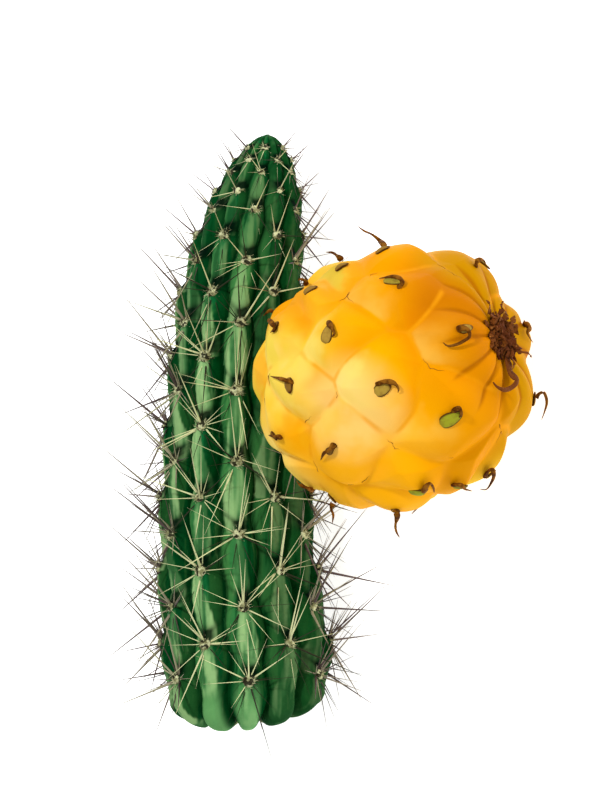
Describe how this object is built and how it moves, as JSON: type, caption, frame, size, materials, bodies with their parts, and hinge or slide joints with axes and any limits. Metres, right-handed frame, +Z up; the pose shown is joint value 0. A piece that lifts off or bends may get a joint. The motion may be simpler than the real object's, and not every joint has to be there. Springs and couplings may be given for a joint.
{
  "type": "cut cactus stem with fruit, harrisia portoricensis",
  "caption": "Cut ribbed spiny cactus stem lying on its side, with one round knobbly yellow fruit still growing on it, crowned by its dried flower.",
  "frame": {"origin": "middle of the bounding box, on the surface that the part lies on", "axes": "+Z up from the surface, +Y along the stem from its cut end to its growing tip, +X across the stem to the side that bears the fruit"},
  "size_m": [0.1063, 0.1345, 0.0594],
  "materials": {
    "stem_skin": "satin",
    "fruit_skin": "satin",
    "dried_flower": "matte",
    "spine": "satin",
    "areole_wool": "matte",
    "fruit_scale": "satin",
    "cut_callus": "matte"
  },
  "bodies": {
    "root": {"stem": "stem_skin", "fruit": "fruit_skin", "flower_remnant": "dried_flower"}
  },
  "joints": []
}
